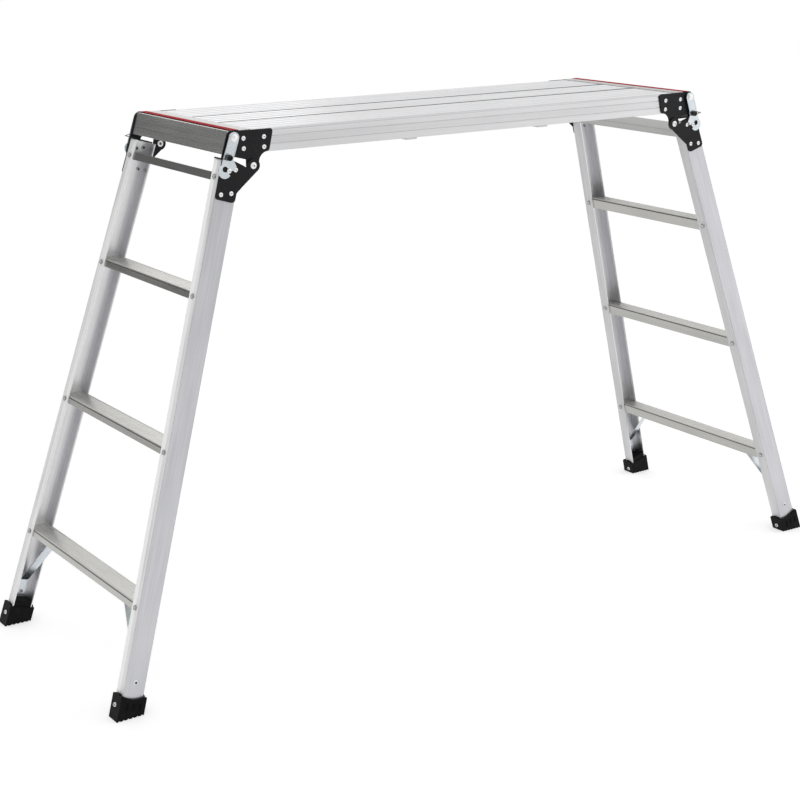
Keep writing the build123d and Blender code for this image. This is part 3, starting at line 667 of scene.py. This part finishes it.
# Rungs and top bars: aluminium extrusions between the stiles, held by rivets in the flanges.
# Each rung's tread is level and ribbed along its length, with a rounded nosing at both edges.
# A fine dark line of painted shade, standing for a groove, runs under the edges of the tread.
rung_metal = Finish("rung_aluminium")
rung_across, rung_out, rung_up = leg_place(rung_metal)
rung_tone = (0.61, 0.605, 0.58)
drawn, satin = drawn_metal(
    rung_metal, rung_out, rung_across, rung_up, rung_tone, streak=0.09, rough=0.28
)
first_tread = 0.219
rung_pitch = 0.2965
tread_level = (rung_metal.place()[2] - first_tread) * (1 / rung_pitch)
below_tread = (1 - tread_level.math("FRACT", tread_level)) * rung_pitch
groove_start = 0.0010
groove_full = 0.0015
groove_fade = 0.0034
groove_end = 0.0040
groove_shade = rung_metal.between(below_tread, groove_start, groove_full, groove_fade, groove_end)
inner_line = -0.0270
outer_line = -0.0666
line_blend = 0.0002
inner_face = rung_metal.step(rung_across, inner_line - line_blend, inner_line + line_blend)
outer_face = 1 - rung_metal.step(rung_across, outer_line - line_blend, outer_line + line_blend)
# The rungs' inner and outer faces and the line under the tread are painted darker: painted shade.
inner_dark = 0.27
outer_dark = 0.10
groove_dark = 0.65
groove_rough = 0.3
painted_shade = inner_dark * inner_face + outer_dark * outer_face + groove_dark * groove_shade
rung_metal.set(
    Base_Color=rung_metal.blend(drawn, black, painted_shade),
    Roughness=satin + groove_rough * groove_shade,
)
top_bar_metal = Finish("top_bar_aluminium")
bar_across, bar_out, bar_up = leg_place(top_bar_metal)
# The top bars are painted much darker than the rungs: a painted shade.
top_bar_shaded_tone = (0.39, 0.39, 0.385)
drawn_metal(top_bar_metal, bar_out, bar_across, bar_up, top_bar_shaded_tone, streak=0.1, rough=0.3)
tread_depth = 0.04246
tread_ribs = 9
tread_pitch = tread_depth / (tread_ribs + 1)
nosing_radius = 0.002
nosing_inset = 0.0018
nosing_proud = 0.0009
flange_reach = 0.031
for end, side in (("left", 1), ("right", -1)):
    top_bar_metal.dress([f"top_bar_{end}"])
    for number in (1, 2, 3):
        rung_metal.dress([f"rung_{number}_{end}"])
        low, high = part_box(f"rung_{number}_{end}")
        inner_x = side * max(side * low.x, side * high.x)
        rib_sizes = {
            "First Rib": (inner_x - side * tread_pitch, 0.0, high.z + rib_proud - rib_radius),
            "Group Step": (-side * tread_pitch, 0.0, 0.0),
            "Groups": tread_ribs,
            "Rib Step": (0.0, 0.0, 0.0),
            "Ribs": 1,
            "Half Length": (0.0, high.y - flange_reach, 0.0),
            "Radius": rib_radius,
            "Finish": rung_metal.material,
        }
        nosing_sizes = {
            **rib_sizes,
            "First Rib": (inner_x - side * nosing_inset, 0.0, high.z + nosing_proud - nosing_radius),
            "Group Step": (-side * (tread_depth - 2 * nosing_inset), 0.0, 0.0),
            "Groups": 2,
            "Radius": nosing_radius,
        }
        for kind, sizes in (("tread_ribs", rib_sizes), ("nosings", nosing_sizes)):
            piece = ribs.make(f"{kind}_{number}_{end}", bpy.data.meshes.new("ribs"), sizes)
            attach(piece, f"{end}_leg")


# Braces: bent zinc-plated steel straps from the stile webs to the underside of the lowest rung.
# The plating is bluish and mottled, with a fine crystal bloom.
def zinc_plate(finish, dark):
    """Bright zinc plating on pressed steel."""
    pale = (0.80, 0.83, 0.85, 1)
    bloom = finish.speckle(220, detail=5.0)
    haze = finish.speckle(45)
    colour = finish.blend(dark, pale, 0.5 * bloom + 0.5 * haze)
    normal = finish.bump(bloom, strength=0.1, distance=0.0004, edge=0.0012)
    finish.set(Metallic=1.0, Base_Color=colour, Roughness=0.15 + 0.2 * bloom, Normal=normal)
    return colour


brace_zinc = Finish("brace_zinc")
zinc_plate(brace_zinc, (0.40, 0.46, 0.51, 1))
brace_zinc.dress([f"brace_{corner}" for corner in corners])


# Feet: moulded black rubber boots pushed over the stile ends and held by two rivets.
# The rubber is matt with a faint bloom, and smoother where it is rubbed.
rubber = Finish("foot_rubber")
pore = rubber.speckle(900)
dust = rubber.speckle(70, detail=4.0)
clean_rubber = (0.004, 0.004, 0.004, 1)
dusty_rubber = (0.010, 0.010, 0.011, 1)
rubber.set(
    Base_Color=rubber.blend(clean_rubber, dusty_rubber, rubber.step(dust, 0.4, 0.75)),
    Roughness=0.42 + 0.25 * dust,
    Specular_IOR_Level=0.1,
    Normal=rubber.bump(pore, strength=0.25, distance=0.0004, edge=0.0012),
)
rubber.dress([f"foot_{corner}" for corner in corners])


# Lock levers: pressed zinc-plated steel hooks on the deck brackets, one at each corner.
# Each swings on a headed pin, hooks round the catch pin and is painted near black on and round the post
# for its spring.
lever_zinc = Finish("lever_zinc")
plated = zinc_plate(lever_zinc, (0.38, 0.44, 0.48, 1))
lever_x, _, lever_z = lever_zinc.place()
post_x = 0.6153
post_z = 1.0685
post_radius = 0.004
coil_radius = 0.0046
# The zinc is painted near black within the coil's radius round the spring post.
post_black = (0.02, 0.02, 0.022, 1)
post_across = abs(lever_x) - post_x
post_up = lever_z - post_z
post_square = post_across * post_across + post_up * post_up
beside_post = lever_zinc.step(post_square, post_radius**2, coil_radius**2)
lever_zinc.set(Base_Color=lever_zinc.blend(post_black, plated, beside_post))
lever_zinc.dress([f"lock_lever_{corner}" for corner in corners])


# Lever springs: black spring wire wound round a post on each lever, with two straight legs.
# The wire is drawn, wound cold and blackened in oil.
wire_black = mottled_steel(
    "black_spring_wire", (0.012, 0.012, 0.013), (0.05, 0.05, 0.052), spots=600, rough=0.25, metallic=0.6
)
wires = Maker("wire_along_a_path")
wire_path = wires.size("Path", "Geometry")
wire_radius = wires.size("Wire Radius", "Float")
wire_finish = wires.size("Finish", "Material")
wire_line = wires.node("GeometryNodeMeshToCurve", {}, {"Mesh": wire_path})
wire_tube = wires.tube(wire_line, wires.circle(10, wire_radius), True)
wires.finish(wires.paint(wires.smooth(wire_tube), wire_finish))
spring_radius = 0.0052
spring_pitch = 0.0023
spring_turns = 2.625
spring_base = 0.2099
spring_drop = 0.040
spring_long_leg = 0.020
spring_short_leg = 0.013
turn_steps = 24
coil_steps = int(spring_turns * turn_steps)
lever_place = Vector((-0.6023, 0, 1.1063))
lever_lean = Matrix.Rotation(math.radians(19), 3, "Y")
spring_sizes = {"Wire Radius": 0.0008, "Finish": wire_black.material}
for corner in corners:
    end, side = corner.split("_")
    points = [Vector((-spring_long_leg, -spring_base, -spring_drop - spring_radius))]
    for i in range(coil_steps + 1):
        turn = i / turn_steps
        angle = 2 * math.pi * turn - math.pi / 2
        reach = spring_radius * math.cos(angle)
        rise = spring_radius * math.sin(angle) - spring_drop
        points.append(Vector((reach, -spring_base - turn * spring_pitch, rise)))
    points.append(points[-1] + (points[-1] - points[-2]).normalized() * spring_short_leg)
    mirror = Vector((1 if end == "left" else -1, 1 if side == "near" else -1, 1))
    points = [(lever_place + lever_lean @ point) * mirror for point in points]
    path = bpy.data.meshes.new("path")
    path.from_pydata(points, [(i, i + 1) for i in range(len(points) - 1)], [])
    piece = wires.make(f"spring_{corner}", path, spring_sizes)
    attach(piece, f"{end}_{side}_lever")
    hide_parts(f"lever_spring_{corner}")


# Studio: a plain white floor, a white room, a wide soft lamp at the front right and a weak one behind.
# Metal mirrors a bright wall behind and to the right, and a dark card at the back on the left.
floor_white = Finish("white_floor")
floor_seen = floor_white.ray("Camera") + floor_white.ray("Glossy") + floor_white.ray("Transmission")
floor_glow = (0.53, 0.53, 0.53, 1)
floor_white.set(
    Base_Color=(0.94, 0.94, 0.94, 1),
    Roughness=1.0,
    Specular_IOR_Level=0.0,
    Emission_Color=floor_white.blend(black, floor_glow, floor_seen),
    Emission_Strength=1.0,
)
floor_half = 40
floor_corners = [(-floor_half, -floor_half, 0), (floor_half, -floor_half, 0)]
floor_corners += [(floor_half, floor_half, 0), (-floor_half, floor_half, 0)]
floor_mesh = bpy.data.meshes.new("floor")
floor_mesh.from_pydata(floor_corners, [], [(0, 1, 2, 3)])
floor_mesh.materials.append(floor_white.material)
floor = bpy.data.objects.new("floor", floor_mesh)
bpy.context.scene.collection.objects.link(floor)

world = bpy.data.worlds.new("white_room")
bpy.context.scene.world = world
world.use_nodes = True
room = Nodes(world.node_tree)
seen = room.ray("Camera")
mirrored = room.ray("Glossy") + room.ray("Transmission")
to_right, to_back, to_top = room.place("Generated")
front_dark = 0.36
right_lift = 0.62
left_lift = 0.56
front_tone = front_dark + right_lift * room.step(to_right, 0.44, 0.70)
front_tone = front_tone + left_lift * room.step(0 - to_right, 0.5, 0.9)
back_pale = 0.98
back_drop = 0.5
back_tone = back_pale - back_drop * room.step(to_right, 0.44, 0.74)
wall_tone = front_tone + (back_tone - front_tone) * room.step(to_back, -0.1, 0.4)
behind_left = 0.86 * to_back - 0.5 * to_right
card_dark = 0.86
card = room.step(behind_left, 0.8, 0.95)
card_side = room.step(behind_left, 0.55, 0.9)
wall_tone = wall_tone * (1 - card_dark * card)
ceiling_start = 0.12 + 0.04 * card_side
ceiling_full = 0.36 + 0.14 * card_side
mirrored_tone = wall_tone + (1 - wall_tone) * room.step(to_top, ceiling_start, ceiling_full)
room_fill = 0.5
strength = seen + (1 - seen) * (mirrored * mirrored_tone + (1 - mirrored) * room_fill)
background = world.node_tree.nodes["Background"]
room.put(background.inputs["Color"], (1, 1, 1, 1))
room.put(background.inputs["Strength"], strength)

lamp_sizes = {
    "front_lamp": (40, 6.5, Vector((4.8, -2.2, 3.0)), Vector((0, 0, 0.5))),
    "back_lamp": (1.0, 0.6, Vector((0.4, 1.7, 1.66)), Vector((-0.4, 0, 1.12))),
}
for lamp_name, (energy, width, lamp_place, lamp_aim) in lamp_sizes.items():
    lamp = bpy.data.lights.new(lamp_name, "AREA")
    lamp.energy = energy
    lamp.size = width
    lamp_object = bpy.data.objects.new(lamp_name, lamp)
    lamp_object.location = lamp_place
    lamp_object.rotation_euler = (lamp_aim - lamp_place).to_track_quat("-Z", "Y").to_euler()
    bpy.context.scene.collection.objects.link(lamp_object)

camera_place = Vector((-2.21757, -3.14687, 1.53605))
camera_turn = 0.5979
camera_drop = 0.2803
camera_roll = -0.0058
focal_pixels = 1715.77
picture_pixels = 800
camera = bpy.data.cameras.new("camera")
camera.sensor_width = 36
camera.lens = focal_pixels / picture_pixels * camera.sensor_width
camera_object = bpy.data.objects.new("camera", camera)
bpy.context.scene.collection.objects.link(camera_object)
forward = Vector((math.sin(camera_turn), math.cos(camera_turn), 0)) * math.cos(camera_drop)
forward.z = -math.sin(camera_drop)
level = Vector((math.cos(camera_turn), -math.sin(camera_turn), 0))
right = level * math.cos(camera_roll) + level.cross(forward) * math.sin(camera_roll)
upward = right.cross(forward)
camera_axes = Matrix((right, upward, -forward)).transposed().to_4x4()
camera_object.matrix_world = Matrix.Translation(camera_place) @ camera_axes
bpy.context.scene.camera = camera_object
bpy.context.scene.view_settings.view_transform = "Standard"
